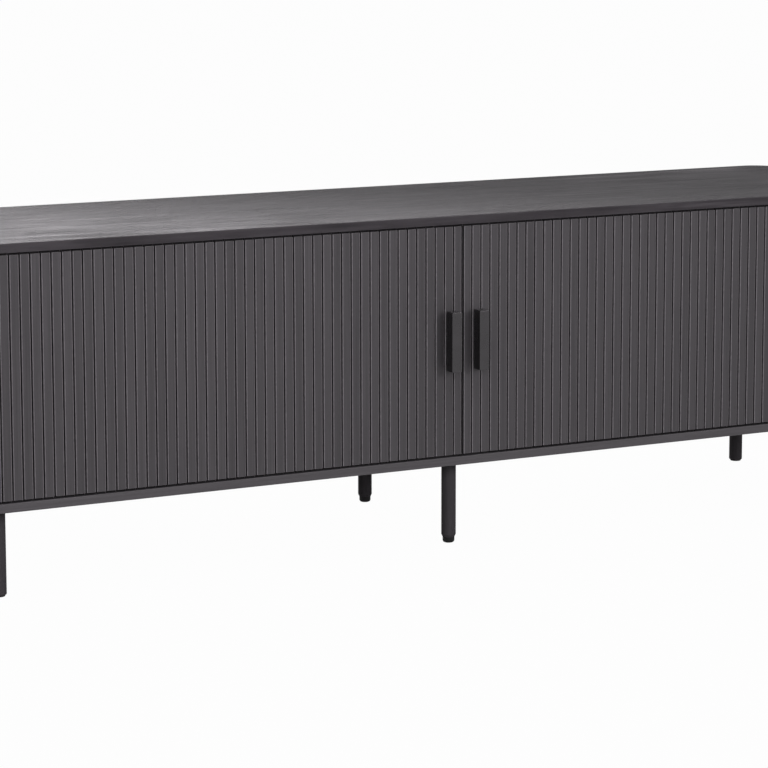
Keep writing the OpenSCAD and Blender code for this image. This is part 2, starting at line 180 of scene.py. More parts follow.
class SideboardColours(bpy.types.PropertyGroup):
    """Colours of the finishes."""

    stain: bpy.props.FloatVectorProperty(
        name="Stain",
        description="Stained wood of the slats and the bottom board",
        subtype="COLOR",
        default=(0.046, 0.044, 0.046),
    )
    top_stain: bpy.props.FloatVectorProperty(
        name="Top stain",
        description="Stained wood of the top board",
        subtype="COLOR",
        default=(0.031, 0.029, 0.031),
    )
    side_stain: bpy.props.FloatVectorProperty(
        name="Side stain",
        description="Stained wood of the side shells and the back panel",
        subtype="COLOR",
        default=(0.043, 0.040, 0.043),
    )
    leg_stain: bpy.props.FloatVectorProperty(
        name="Leg stain",
        description="Stained wood of the legs",
        subtype="COLOR",
        default=(0.060, 0.057, 0.060),
    )
    interior: bpy.props.FloatVectorProperty(
        name="Interior",
        description="Foil on the shelves, the uprights and the inner back",
        subtype="COLOR",
        default=(0.026, 0.025, 0.026),
    )
    handle: bpy.props.FloatVectorProperty(
        name="Handle",
        description="Powder coat of the handles",
        subtype="COLOR",
        default=(0.009, 0.0087, 0.009),
    )
    canvas: bpy.props.FloatVectorProperty(
        name="Canvas",
        description="Cloth behind the slats",
        subtype="COLOR",
        default=(0.020, 0.020, 0.021),
    )
    plastic: bpy.props.FloatVectorProperty(
        name="Plastic",
        description="Feet, glides and groove stops",
        subtype="COLOR",
        default=(0.012, 0.012, 0.012),
    )
    beech: bpy.props.FloatVectorProperty(
        name="Beech",
        description="Dowels",
        subtype="COLOR",
        default=(0.55, 0.37, 0.20),
    )


def sizes():
    return bpy.context.scene.sideboard_sizes


def colours():
    return bpy.context.scene.sideboard_colours


# ---------- shader building ----------


class Signal:
    """A shader socket that takes part in Python arithmetic."""

    def __init__(self, finish, socket):
        self.finish = finish
        self.socket = socket

    def math(self, operation, first, second):
        return self.finish.node("Math", {"operation": operation}, {0: first, 1: second})

    def __add__(self, other):
        return self.math("ADD", self, other)

    def __radd__(self, other):
        return self.math("ADD", other, self)

    def __sub__(self, other):
        return self.math("SUBTRACT", self, other)

    def __rsub__(self, other):
        return self.math("SUBTRACT", other, self)

    def __mul__(self, other):
        return self.math("MULTIPLY", self, other)

    def __rmul__(self, other):
        return self.math("MULTIPLY", other, self)

    def power(self, exponent):
        return self.math("POWER", self, exponent)

    def most(self, other):
        return self.math("MAXIMUM", self, other)

    def sine(self):
        return self.math("SINE", self, 0.0)

    def scaled(self, factors):
        """A vector multiplied part by part."""
        return self.finish.node("VectorMath", {"operation": "MULTIPLY"}, {0: self, 1: factors})

    def moved(self, vector):
        """A vector with another one added to it."""
        return self.finish.node("VectorMath", {"operation": "ADD"}, {0: self, 1: vector})

    def ramp(self, low, high, out_low=0.0, out_high=1.0):
        """A number stretched so that low becomes out_low and high becomes out_high."""
        return self.finish.node(
            "MapRange", {"clamp": True}, {0: self, 1: low, 2: high, 3: out_low, 4: out_high}
        )

    def part(self, axis):
        """One coordinate of a vector."""
        return self.finish.node("SeparateXYZ", {}, {0: self}, output=axis)


class Finish:
    """The node tree of one material."""

    def __init__(self, name):
        self.material = bpy.data.materials.new(name)
        self.material.use_nodes = True
        self.tree = self.material.node_tree
        self.tree.nodes.clear()

    def node(self, kind, settings=None, inputs=None, output=0):
        """Adds a node: its settings first, then the values or links of its sockets."""
        made = self.tree.nodes.new("ShaderNode" + kind)
        for key, value in (settings or {}).items():
            setattr(made, key, value)
        for key, value in (inputs or {}).items():
            if isinstance(value, Signal):
                self.tree.links.new(value.socket, made.inputs[key])
            else:
                made.inputs[key].default_value = value
        if output is None:
            return None
        return Signal(self, made.outputs[output])

    def place(self):
        return self.node("TexCoord", output="Object")

    def attribute(self, name):
        return self.node("Attribute", {"attribute_name": name}, output="Fac")

    def noise(self, where, scale=1.0, detail=3.0, roughness=0.5, distortion=0.0):
        values = {"Vector": where, "Scale": scale, "Detail": detail}
        values.update({"Roughness": roughness, "Distortion": distortion})
        return self.node("TexNoise", {}, values)

    def mix(self, factor, first, second, blend="MIX"):
        """A colour between two colours."""
        settings = {"data_type": "RGBA", "blend_type": blend}
        return self.node("Mix", settings, {0: factor, 6: first, 7: second}, output=2)

    def bump(self, height, distance, strength=1.0):
        return self.node("Bump", {}, {"Height": height, "Distance": distance, "Strength": strength})

    def surface(self, **inputs):
        """Ends the tree in a Principled surface and gives the material."""
        named = {key.replace("_", " "): value for key, value in inputs.items()}
        shader = self.node("BsdfPrincipled", {}, named)
        self.node("OutputMaterial", {}, {"Surface": shader}, output=None)
        return self.material


def opaque(colour):
    return (*colour, 1.0)


def shaded(colour, factor):
    return tuple(part * factor for part in colour)


# ---------- finishes ----------


def stained_wood(name, colour, along, patch, look):
    """Dark stained veneer with its grain along one axis.

    patch is the size of its cloudy patches across the grain. look holds the strength of its parts:
    cloud, fibre, streak, tone (from piece to piece), edge (edge faces painted lighter: rubbed wear and a
    painted highlight), painted_upright_light (upright faces painted lighter than level ones by this factor,
    for the light that falls on them) and painted_gap_shade (painted shade on the faces behind the front),
    and then roughness, gloss (of the cloudy patches), gleam (of the lacquer) and sheen."""
    finish = Finish(name)
    tone = finish.attribute("tone")
    worn_highlit_edge = finish.attribute("edge")
    painted_gap_shade = finish.attribute("painted_gap_shade")
    shift = finish.node("CombineXYZ", {}, {0: tone * 31.0, 1: tone * 17.0, 2: tone * 47.0})
    place = finish.place().moved(shift)

    def grain(across, length, detail, rough=0.55):
        stretch = [across] * 3
        stretch[along] = length
        return finish.noise(place.scaled(stretch), detail=detail, roughness=rough)

    cloud = grain(1 / patch, 0.24 / patch, 3.0) - 0.5
    fibre = grain(240.0, 5.0, 4.0, 0.65) - 0.5
    streak = grain(62.0, 3.4, 3.0).ramp(0.57, 0.74)
    pore = grain(1500.0, 95.0, 2.0).ramp(0.60, 0.72)
    light = 1.0 + cloud * look["cloud"] + fibre * look["fibre"] + streak * look["streak"]
    light = light + (tone - 0.5) * look["tone"] - pore * 0.22
    # Painted light: upright faces are painted lighter than level ones by the look's factor, for the light
    # that falls on the boards' fronts.
    if look["painted_upright_light"] != 1.0:
        upright = 1.0 - finish.node("NewGeometry", output="Normal").part(Z_AXIS).power(2.0)
        light = light * (1.0 - upright * (1.0 - look["painted_upright_light"]))
    # Painted shade: the faces marked behind the front (groove walls, tongues, slat ends) are darkened.
    light = light * (1.0 - painted_gap_shade * look["painted_gap_shade"])
    # Edge faces are painted toward 5.5 times the stain colour: rubbed wear, and a painted highlight along
    # the chamfers.
    rub_and_highlight = worn_highlit_edge * finish.noise(place, 240.0, 3.0).ramp(0.25, 0.75, 0.5, 1.0)
    body = finish.mix(light * (1 / BRIGHTEST), BLACK, opaque(shaded(colour, BRIGHTEST)))
    worn_and_highlit = finish.mix(rub_and_highlight * look["edge"], body, opaque(shaded(colour, 5.5)))
    rough = look["roughness"] + fibre * 0.30 + pore * 0.12 - cloud * look["gloss"] - streak * 0.10
    return finish.surface(
        Base_Color=worn_and_highlit,
        Roughness=rough - worn_highlit_edge * 0.08 + painted_gap_shade * 0.4,
        Specular_IOR_Level=look["gleam"],
        Specular_Tint=GLOSS_TINT,
        Sheen_Weight=look["sheen"],
        Sheen_Roughness=0.35,
        Normal=finish.bump(fibre * 0.6 - pore * 0.9, 0.12 * MM, 0.7),
    )


SLAT_LOOK = {
    "cloud": 0.35,
    "fibre": 0.9,
    "streak": 0.14,
    "tone": 0.24,
    # the slats' lighter edges are partly wear and partly a painted highlight on the chamfers
    "edge": 0.85,
    "painted_upright_light": 1.0,
    # painted shade on the faces behind the slats' fronts
    "painted_gap_shade": 0.85,
    "roughness": 0.5,
    "gloss": 0.2,
    "gleam": 0.32,
    "sheen": 0.0,
}
TOP_LOOK = {
    **SLAT_LOOK,
    "cloud": 1.5,
    "streak": 0.9,
    "edge": 0.3,
    # painted light: the top board's upright edge painted 1.7 times as light as its top
    "painted_upright_light": 1.7,
    "roughness": 0.22,
    "gloss": 0.24,
    "gleam": 0.0005,
}
# painted light: the bottom board's upright faces painted 2.45 times as light as its level faces
BOTTOM_LOOK = {**SLAT_LOOK, "edge": 0.1, "painted_upright_light": 2.45}
SHELL_LOOK = {**SLAT_LOOK, "edge": 0.3}
BACK_LOOK = {**SLAT_LOOK, "edge": 0.3, "roughness": 0.6}


def turned_wood(name, colour):
    """Stained turned wood: upright grain with faint marks of the lathe."""
    finish = Finish(name)
    place = finish.place()
    fibre = finish.noise(place.scaled((260.0, 260.0, 9.0)), detail=5.0, roughness=0.6)
    pore = finish.noise(place.scaled((1500.0, 1500.0, 110.0)), detail=2.0).ramp(0.6, 0.72)
    lathe = (place.part(Z_AXIS) * (2 * math.pi / (1.1 * MM))).sine()
    light = 0.70 + fibre * 0.60 - pore * 0.25
    body = finish.mix(light * 0.5, BLACK, opaque(shaded(colour, 2.0)))
    return finish.surface(
        Base_Color=body,
        Roughness=0.55 + (fibre - 0.5) * 0.25,
        Specular_IOR_Level=0.01,
        Specular_Tint=GLOSS_TINT,
        Normal=finish.bump(fibre * 0.5 - pore * 0.8 + lathe * 0.05, 0.12 * MM, 0.7),
    )


def foil(name, colour, along):
    """Matt foil on board: a faint printed grain, pressed in only slightly."""
    finish = Finish(name)
    stretch = [210.0] * 3
    stretch[along] = 7.0
    place = finish.place()
    grain = finish.noise(place.scaled(stretch), detail=4.0, roughness=0.6)
    scuff = finish.noise(place, 9.0, 4.0, 0.6).ramp(0.35, 0.75)
    edge = finish.attribute("edge")
    tone = finish.mix(grain, opaque(shaded(colour, 0.72)), opaque(shaded(colour, 1.3)))
    return finish.surface(
        Base_Color=finish.mix(edge * 0.5, tone, opaque(shaded(colour, 1.9))),
        Roughness=0.50 + scuff * 0.12 + (grain - 0.5) * 0.2,
        Specular_IOR_Level=0.35,
        Normal=finish.bump(grain, 0.05 * MM, 0.6),
    )


def powder_coat(name, colour):
    """Black powder coat with a fine pebbled skin, polished a little on its edges."""
    finish = Finish(name)
    place = finish.place()
    pebble = finish.noise(place, 1400.0, 3.0, 0.55)
    wave = finish.noise(place, 260.0, 2.0, 0.5)
    touch = finish.noise(place, 34.0, 4.0, 0.6).ramp(0.4, 0.75)
    edge = finish.attribute("edge")
    body = finish.mix(pebble, opaque(shaded(colour, 0.75)), opaque(shaded(colour, 1.25)))
    return finish.surface(
        Base_Color=finish.mix(edge * 0.6, body, opaque(shaded(colour, 2.4))),
        Roughness=0.26 + (pebble - 0.5) * 0.10 + touch * 0.07 - edge * 0.04,
        Specular_IOR_Level=0.6,
        Specular_Tint=GLOSS_TINT,
        Sheen_Weight=0.35,
        Sheen_Roughness=0.15,
        Normal=finish.bump(pebble * 0.7 + wave * 0.3, 0.05 * MM, 0.6),
    )


def moulded_plastic(name, colour):
    """Hard black plastic with a fine spark-eroded grain."""
    finish = Finish(name)
    place = finish.place()
    grain = finish.noise(place, 2200.0, 3.0, 0.6)
    smear = finish.noise(place, 45.0, 4.0, 0.6)
    return finish.surface(
        Base_Color=finish.mix(smear, opaque(shaded(colour, 0.8)), opaque(shaded(colour, 1.5))),
        Roughness=0.48 + smear * 0.16,
        Specular_IOR_Level=0.10,
        Normal=finish.bump(grain, 0.03 * MM, 0.7),
    )


def plated_steel(name, colour, roughness):
    """Plated steel: fine drawing marks and a cloudy film."""
    finish = Finish(name)
    place = finish.place()
    drawn = finish.noise(place.scaled((900.0, 900.0, 3000.0)), detail=3.0)
    film = finish.noise(place, 120.0, 4.0, 0.6)
    return finish.surface(
        Base_Color=finish.mix(film, opaque(shaded(colour, 0.78)), opaque(colour)),
        Metallic=1.0,
        Roughness=roughness + (film - 0.5) * 0.2 + (drawn - 0.5) * 0.15,
        Normal=finish.bump(drawn, 0.02 * MM, 0.6),
    )


def raw_beech(name, colour):
    """Unfinished beech: short flecks in a pale even ground."""
    finish = Finish(name)
    place = finish.place()
    fleck = finish.noise(place.scaled((1300.0, 1300.0, 240.0)), detail=2.0).ramp(0.55, 0.7)
    grain = finish.noise(place.scaled((320.0, 320.0, 14.0)), detail=4.0)
    body = finish.mix(grain, opaque(shaded(colour, 0.85)), opaque(shaded(colour, 1.12)))
    return finish.surface(
        Base_Color=finish.mix(fleck * 0.35, body, opaque(shaded(colour, 0.55))),
        Roughness=0.62 + grain * 0.12,
        Normal=finish.bump(grain, 0.06 * MM, 0.6),
    )


def woven_canvas(name, colour, pitch):
    """Plain-weave canvas, its threads upright and level."""
    finish = Finish(name)
    place = finish.place()
    turn = math.pi / pitch
    slub = finish.noise(place.scaled((350.0, 350.0, 25.0)), detail=3.0)
    across = (place.part(X_AXIS) + place.part(Y_AXIS)) * turn + slub * 0.6
    level = place.part(Z_AXIS) * turn
    over = across.sine() * level.sine()
    warp = (across * 2.0).sine() * 0.5 + 0.5
    weft = (level * 2.0).sine() * 0.5 + 0.5
    mask = over * 0.5 + 0.5
    height = warp * mask + weft * (1.0 - mask)
    # Painted light and shade: thread crowns are painted up to 1.5 times as light, and the hollows between
    # threads down to 0.45 times, following the weave's height.
    thread = finish.mix(height, opaque(shaded(colour, 0.45)), opaque(shaded(colour, 1.5)))
    return finish.surface(
        Base_Color=finish.mix(slub * 0.4, thread, opaque(shaded(colour, 1.9))),
        Roughness=0.82 + slub * 0.12,
        Specular_IOR_Level=0.2,
        Normal=finish.bump(height + slub * 0.3, 0.25 * MM, 0.8),
    )


def all_finishes():
    """Every material of the sideboard, by its slot in the record."""
    paint = colours()
    # Painted shade: the bottom board's level faces get a darker copy (0.6) of the slat stain.
    shaded_bottom_stain = shaded(paint.stain, 0.6)
    return {
        "stain_top": stained_wood("top_veneer", paint.top_stain, X_AXIS, 0.045, TOP_LOOK),
        "stain": stained_wood("slat_veneer", paint.stain, Z_AXIS, 0.16, SLAT_LOOK),
        "stain_level": stained_wood("bottom_veneer", shaded_bottom_stain, X_AXIS, 0.12, BOTTOM_LOOK),
        "stain_side": stained_wood("shell_veneer", paint.side_stain, Z_AXIS, 0.14, SHELL_LOOK),
        "back": stained_wood("back_veneer", paint.side_stain, X_AXIS, 0.16, BACK_LOOK),
        "interior": foil("interior_foil", paint.interior, Z_AXIS),
        "interior_level": foil("shelf_foil", paint.interior, X_AXIS),
        "canvas": woven_canvas("canvas", paint.canvas, sizes().weave_pitch),
        "handle_metal": powder_coat("powder_coat", paint.handle),
        "leg_wood": turned_wood("turned_leg", paint.leg_stain),
        "black_plastic": moulded_plastic("plastic", paint.plastic),
        "black_screws": plated_steel("blackened_steel", BLACKENED, 0.4),
        "zinc": plated_steel("zinc_plate", ZINC, 0.32),
        "beech": raw_beech("beech", paint.beech),
    }


FINISHES = {}


def finish_of(name):
    """One of the materials, all of which are made at the first call."""
    if not FINISHES:
        FINISHES.update(all_finishes())
    return FINISHES[name]


# ---------- mesh building ----------


def shells_of(bm):
    """The faces of each closed shell, as lists."""
    seen = set()
    found = []
    for start in bm.faces:
        if start in seen:
            continue
        seen.add(start)
        shell = [start]
        for face in shell:
            for edge in face.edges:
                for other in edge.link_faces:
                    if other not in seen:
                        seen.add(other)
                        shell.append(other)
        found.append(shell)
    return found


def tone_shells(bm, seed):
    """Gives each closed shell a tone of its own, from 0 to 1."""
    layer = bm.faces.layers.float.new("tone")
    draw = random.Random(seed)
    for shell in shells_of(bm):
        tone = draw.random()
        for face in shell:
            face[layer] = tone


def edge_layer(bm):
    """The face attribute that tells the finish which faces are edges."""
    return bm.faces.layers.float.get("edge") or bm.faces.layers.float.new("edge")


def any_edge(edge):
    return True


def straight_edge(edge):
    """True for a long sharp edge, so not for the rim of a hole."""
    return edge.calc_length() > 6 * MM


def round_edges(bm, width, segments, chosen=straight_edge, sharp=math.radians(30)):
    """Rounds the chosen convex edges, and marks the new faces as edge faces."""
    layer = edge_layer(bm)
    edges = [
        e
        for e in bm.edges
        if len(e.link_faces) == 2 and e.is_convex and e.calc_face_angle(0.0) > sharp and chosen(e)
    ]
    made = bmesh.ops.bevel(
        bm, geom=edges, offset=width, segments=segments, profile=0.5, affect="EDGES", clamp_overlap=True
    )
    for face in made["faces"]:
        face[layer] = 1.0


def merged_copy(node):
    """A bmesh of a CAD node with its split corners joined and its flat faces merged."""
    bm = bmesh.new()
    bm.from_mesh(frame["nodes"][node].data)
    bmesh.ops.remove_doubles(bm, verts=bm.verts[:], dist=2e-6)
    bmesh.ops.dissolve_limit(
        bm,
        angle_limit=math.radians(0.6),
        verts=bm.verts[:],
        edges=bm.edges[:],
        use_dissolve_boundaries=False,
    )
    return bm


def mark_narrow(bm, width):
    """Marks the long faces that are narrower than a width as edge faces."""
    layer = edge_layer(bm)
    for face in bm.faces:
        longest = max(e.calc_length() for e in face.edges)
        if face.calc_area() < width * longest and longest > 20 * MM:
            face[layer] = 1.0


def cross_recess(bm, head_area, arm, half_width, depth):
    """Sinks a cross for the screwdriver into each round head that faces the back."""
    heads = [f for f in bm.faces if f.normal.y > 0.99 and len(f.verts) > 20 and f.calc_area() > head_area]
    for head in heads:
        middle = head.calc_center_median()
        bmesh.ops.inset_region(bm, faces=[head], thickness=0.2 * MM)
        for vert in head.verts:
            out = (vert.co - middle).normalized()
            along, across = max(abs(out.x), 1e-6), max(abs(out.z), 1e-6)
            reach = max(min(arm / along, half_width / across), min(arm / across, half_width / along))
            vert.co = middle + out * reach
        floor = bmesh.ops.extrude_discrete_faces(bm, faces=[head])["faces"][0]
        for vert in floor.verts:
            vert.co = middle + (vert.co - middle) * 0.6 - Vector((0.0, depth, 0.0))


def turned(rings, count):
    """A closed turned solid. rings holds heights from the bottom up, each with a radius for an angle."""
    bm = bmesh.new()
    made = []
    for height, radius in rings:
        ring = []
        for k in range(count):
            angle = 2 * math.pi * k / count
            reach = radius(angle)
            ring.append(bm.verts.new((reach * math.cos(angle), reach * math.sin(angle), height)))
        made.append(ring)
    for low, high in zip(made, made[1:]):
        for k in range(count):
            bm.faces.new((low[k], low[(k + 1) % count], high[(k + 1) % count], high[k]))
    bm.faces.new(made[0][::-1])
    bm.faces.new(made[-1])
    return bm


def piece_of(name, bm, body, finish, slot, *nodes):
    """Turns a bmesh into a finished piece that rides on a body and stands for some CAD nodes."""
    mesh = bpy.data.meshes.new(name)
    for face in bm.faces:
        face.smooth = True
    bm.to_mesh(mesh)
    bm.free()
    mesh.set_sharp_from_angle(angle=math.radians(32))
    mesh.materials.append(finish_of(finish))
    piece = bpy.data.objects.new(name, mesh)
    bpy.context.scene.collection.objects.link(piece)
    smooth = piece.modifiers.new("even_shading", "WEIGHTED_NORMAL")
    smooth.keep_sharp = True
    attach(piece, body)
    if nodes:
        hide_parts(*nodes)
    return piece


def body_of_node(node):
    return frame["nodes"][node]["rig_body"]


def mark_painted_gap_shade(bm):
    """Marks the faces of slats that lie deeper than their fronts, or look sideways, up or down.

    They are darkened as painted shade, for the grooves and gaps that lie in shadow."""
    behind = min(vert.co.y for vert in bm.verts) + FRONT_DEPTH
    layer = bm.faces.layers.float.new("painted_gap_shade")
    for face in bm.faces:
        seen = face.normal.y < -0.3 and face.calc_center_median().y < behind
        face[layer] = 0.0 if seen else 1.0


def dressed(
    node,
    name,
    finish,
    width,
    segments=2,
    chosen=straight_edge,
    slot=None,
    chamfer=0.0,
    carve=None,
    painted_gap_shade=False,
):
    """A copy of a CAD node with rounded edges, as a finished piece in its place.

    Faces narrower than chamfer count as edges, and carve works on the mesh before its edges are rounded.
    With painted_gap_shade set, everything but the front is marked for painted shade."""
    bm = merged_copy(node)
    tone_shells(bm, name)
    if chamfer:
        mark_narrow(bm, chamfer)
    if carve:
        carve(bm)
    round_edges(bm, width, segments, chosen)
    if painted_gap_shade:
        bm.normal_update()
        mark_painted_gap_shade(bm)
    return piece_of(name, bm, body_of_node(node), finish, slot or finish, node)


# ---------- pieces ----------


def on_outline(edge):
    """True for an edge on the outer outline of a board, so not for one of its grooves."""
    low, high = BOARD_BOX
    middle = (edge.verts[0].co + edge.verts[1].co) / 2 - (low + high) / 2
    across = max(abs(middle.x) - (high.x - low.x) / 2 + CORNER_RADIUS, 0.0)
    deep = max(abs(middle.y) - (high.y - low.y) / 2 + CORNER_RADIUS, 0.0)
    return math.hypot(across, deep) > CORNER_RADIUS - 0.3 * MM


class BuildBoards(bpy.types.Operator):
    """Builds the top and bottom boards."""

    bl_idname = "sideboard.boards"
    bl_label = "Boards"

    def execute(self, context):
        edge = sizes().board_edge
        dressed("top_board", "top", "stain_top", edge, 3, on_outline)
        dressed("bottom_board", "bottom", "stain_level", edge, 3, on_outline, slot="stain")
        return {"FINISHED"}


class BuildShells(bpy.types.Operator):
    """Builds the bent side shells and the back panel."""

    bl_idname = "sideboard.shells"
    bl_label = "Side shells and back"

    def execute(self, context):
        edge = sizes().panel_edge
        for side in SIDES:
            dressed(f"side_shell_{side}", f"shell_{side}", "stain_side", edge)
        dressed("back_panel", "back", "back", edge)
        return {"FINISHED"}


def joint_of(side):
    """The slide of a door."""
    return next(j for j in frame["joints"] if j["name"] == f"door_{side}_slide")


def fixed_end(side):
    """X of the end of a door's front run that stays where it is."""
    return joint_of(side)["deforming_nodes"][0]["fixed_end_x_m"]


def start_of(node):
    """Distance of a node's inner end from the middle of the sideboard."""
    return min(abs(corner.x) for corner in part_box(node))


def fold_away(piece, side, start):
    """Gives a run that starts at a distance from the middle a mesh of its own. It works out how much of the
    run stays when its door opens, but folds nothing.
    """
    joint = joint_of(side)
    end = fixed_end(side)
    keep = 1 - max(joint["range_m"]) / (abs(end) - start)
    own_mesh(piece)


class BuildSlats(bpy.types.Operator):
    """Builds the slats of both doors."""

    bl_idname = "sideboard.slats"
    bl_label = "Slats"

    def execute(self, context):
        edge = sizes().slat_edge
        for side in SIDES:
            node = f"front_slats_{side}"
            front = dressed(node, f"slats_front_{side}", "stain", edge, chamfer=CHAMFER, painted_gap_shade=True)
            fold_away(front, side, start_of(node) - HALF_GAP)
            dressed(f"corner_slats_{side}", f"slats_corner_{side}", "stain", edge, chamfer=CHAMFER)
        return {"FINISHED"}


class BuildLeadStiles(bpy.types.Operator):
    """Builds the stiff stile at the leading edge of each door."""

    bl_idname = "sideboard.lead_stiles"
    bl_label = "Lead stiles"

    def execute(self, context):
        edge = sizes().slat_edge
        for side in SIDES:
            dressed(f"lead_stile_{side}", f"stile_{side}", "stain", edge, chamfer=CHAMFER, painted_gap_shade=True)
        return {"FINISHED"}


def ribbon(name, path, low, high, thickness, *nodes):
    """A strip of cloth that stands on edge along a path of points, with its thickness to the left of it."""
    bm = bmesh.new()
    rings = []
    for i, point in enumerate(path):
        before, after = path[max(i - 1, 0)], path[min(i + 1, len(path) - 1)]
        run = (after - before).normalized()
        out = Vector((-run.y, run.x, 0.0)) * thickness
        corners = [(point, low), (point, high), (point + out, high), (point + out, low)]
        rings.append([bm.verts.new((p.x, p.y, z)) for p, z in corners])
    for first, second in zip(rings, rings[1:]):
        for k in range(4):
            bm.faces.new((first[k], first[(k + 1) % 4], second[(k + 1) % 4], second[k]))
    bm.faces.new(rings[0][::-1])
    bm.faces.new(rings[-1])
    bmesh.ops.recalc_face_normals(bm, faces=bm.faces[:])
    return piece_of(name, bm, "carcass", "canvas", "canvas", *nodes)


class BuildCanvas(bpy.types.Operator):
    """Builds the canvas of each door: the run in front, and the run round the corner."""

    bl_idname = "sideboard.canvas"
    bl_label = "Canvas"

    def execute(self, context):
        for side, sign in SIDES.items():
            node = f"canvas_{side}"
            low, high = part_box(node)
            start = min(abs(low.x), abs(high.x))
            outer = max(abs(low.x), abs(high.x))
            end = abs(fixed_end(side))
            bend = outer - CANVAS_BEND
            depth = low.y

            def spot(x, y):
                return Vector((sign * x, y, 0.0))

            run = [
                spot(start + (end - start) * i / CANVAS_STEPS, depth) for i in range(CANVAS_STEPS + 1)
            ]
            arc = [
                spot(bend + CANVAS_BEND * math.sin(a), depth + CANVAS_BEND * (1 - math.cos(a)))
                for a in (math.radians(5 * i) for i in range(1, 19))
            ]
            tail = [spot(end, depth), spot(bend, depth), *arc, spot(outer, high.y)]
            for points, name in ((run, f"canvas_run_{side}"), (tail, f"canvas_tail_{side}")):
                ordered = points if sign > 0 else points[::-1]
                cloth = ribbon(name, ordered, low.z, high.z, CANVAS_THICKNESS, node)
                length = sum((b - a).length for a, b in zip(points, points[1:]))
                if points is run:
                    fold_away(cloth, side, start)
        return {"FINISHED"}


class BuildHandles(bpy.types.Operator):
    """Builds the bar handles and their screws."""

    bl_idname = "sideboard.handles"
    bl_label = "Handles"

    def execute(self, context):
        for side in SIDES:
            dressed(f"handle_{side}", f"bar_{side}", "handle_metal", sizes().handle_edge, 3)
            dressed(
                f"handle_screws_{side}",
                f"bar_screws_{side}",
                "zinc",
                sizes().small_edge,
                carve=lambda bm: cross_recess(bm, *HANDLE_RECESS),
            )
        return {"FINISHED"}


class BuildLegs(bpy.types.Operator):
    """Builds the six turned legs."""

    bl_idname = "sideboard.legs"
    bl_label = "Legs"

    def execute(self, context):
        for row in ("front", "back"):
            for place in ("left", "centre", "right"):
                leg = f"leg_{row}_{place}"
                dressed(leg, f"turned_{leg}", "leg_wood", sizes().small_edge)
        return {"FINISHED"}


def threaded(radius, pitch, depth, bottom, top):
    """Rings of a threaded stem between two heights, its crests at a radius."""
    steps = round((top - bottom) / pitch * RINGS_PER_THREAD)

    def ring(height):
        fade = min(1.0, (height - bottom) / pitch, (top - height) / pitch)

        def reach(angle):
            turn = height / pitch - angle / (2 * math.pi)
            crest = 1 - abs(2 * (turn % 1.0) - 1)
            return radius - depth + depth * crest * fade

        return height, reach

    return [ring(bottom + (top - bottom) * i / steps) for i in range(steps + 1)]


def plain(radius):
    """The same radius at every angle."""
    return lambda angle: radius


def rounded_rim(radius, height, edge, upper):
    """Rings round the lower or upper rim of a turned solid that ends at a height."""
    rings = []
    for i in range(6):
        turn = math.radians(18 * i)
        across, along = 1 - math.cos(turn), 1 - math.sin(turn)
        if upper:
            rings.append((height - edge * along, plain(radius - edge * across)))
        else:
            rings.append((height + edge * across, plain(radius - edge * along)))
    return rings


class BuildFeet(bpy.types.Operator):
    """Builds the levelling feet, a pad on a threaded stem each, and the glides."""

    bl_idname = "sideboard.feet"
    bl_label = "Feet"

    def execute(self, context):
        pitch, depth = sizes().thread_pitch, sizes().thread_depth
        for row in ("front", "back"):
            low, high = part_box(f"foot_{row}")
            radius = (high.x - low.x) / 2
            rings = rounded_rim(radius, 0.0, PAD_EDGE, False)
            rings += rounded_rim(radius, PAD_HEIGHT, PAD_TOP_EDGE, True)
            rings += threaded(STEM_RADIUS, pitch, depth, PAD_HEIGHT, high.z)
            bm = turned(rings, ROUND_STEPS)
            under = ((low.x + high.x) / 2, (low.y + high.y) / 2, low.z)
            bmesh.ops.translate(bm, verts=bm.verts[:], vec=under)
            name = f"levelling_foot_{row}"
            piece_of(name, bm, name, "black_plastic", "black_plastic", f"foot_{row}")
        dressed("leg_glides", "glides", "black_plastic", sizes().small_edge, chosen=any_edge)
        return {"FINISHED"}


class BuildInterior(bpy.types.Operator):
    """Builds the uprights, the shelves and the inner back."""

    bl_idname = "sideboard.interior"
    bl_label = "Interior"

    def execute(self, context):
        edge = sizes().panel_edge
        for node in ("inner_side_left", "inner_side_right", "divider"):
            dressed(node, f"panel_{node}", "interior", edge)
        for node in ("shelf_left", "shelf_right", "inner_back"):
            dressed(node, f"panel_{node}", "interior_level", edge, slot="interior")
        return {"FINISHED"}


class BuildHardware(bpy.types.Operator):
    """Builds the fittings that hold the sideboard together."""

    bl_idname = "sideboard.hardware"
    bl_label = "Hardware"

    def execute(self, context):
        finishes = {
            "zinc": ("foot_inserts", "leg_bolts", "leg_inserts", "shelf_pins", "cam_discs", "cam_bolts"),
            "beech": ("carcass_dowels", "shell_dowels"),
            "black_plastic": ("groove_stops",),
        }
        for finish, nodes in finishes.items():
            for node in nodes:
                dressed(node, f"fit_{node}", finish, sizes().small_edge, chosen=any_edge)
        dressed(
            "panel_screws",
            "fit_panel_screws",
            "black_screws",
            PANEL_SCREW_EDGE,
            carve=lambda bm: cross_recess(bm, *PANEL_RECESS),
        )
        return {"FINISHED"}


# ---------- stage ----------

MIDDLE = (CAD_BOX[0] + CAD_BOX[1]) / 2
CAMERA_PLACE = Vector((-2.0409, -4.1642, 1.1265))
CAMERA_YAW = math.radians(25.605)
CAMERA_PITCH = math.radians(7.455)
CAMERA_ROLL = math.radians(0.101)
CAMERA_LENS = 125.85
CAMERA_SHIFT = -0.2
FLOOR_RADIUS = 30.0
FLOOR_DARK, FLOOR_PALE = (0.30, 0.30, 0.30), (0.34, 0.34, 0.34)
FLOOR_WHITE = 0.98  # how much of the floor's own shade the white covers
SKY_LEVEL = 0.06


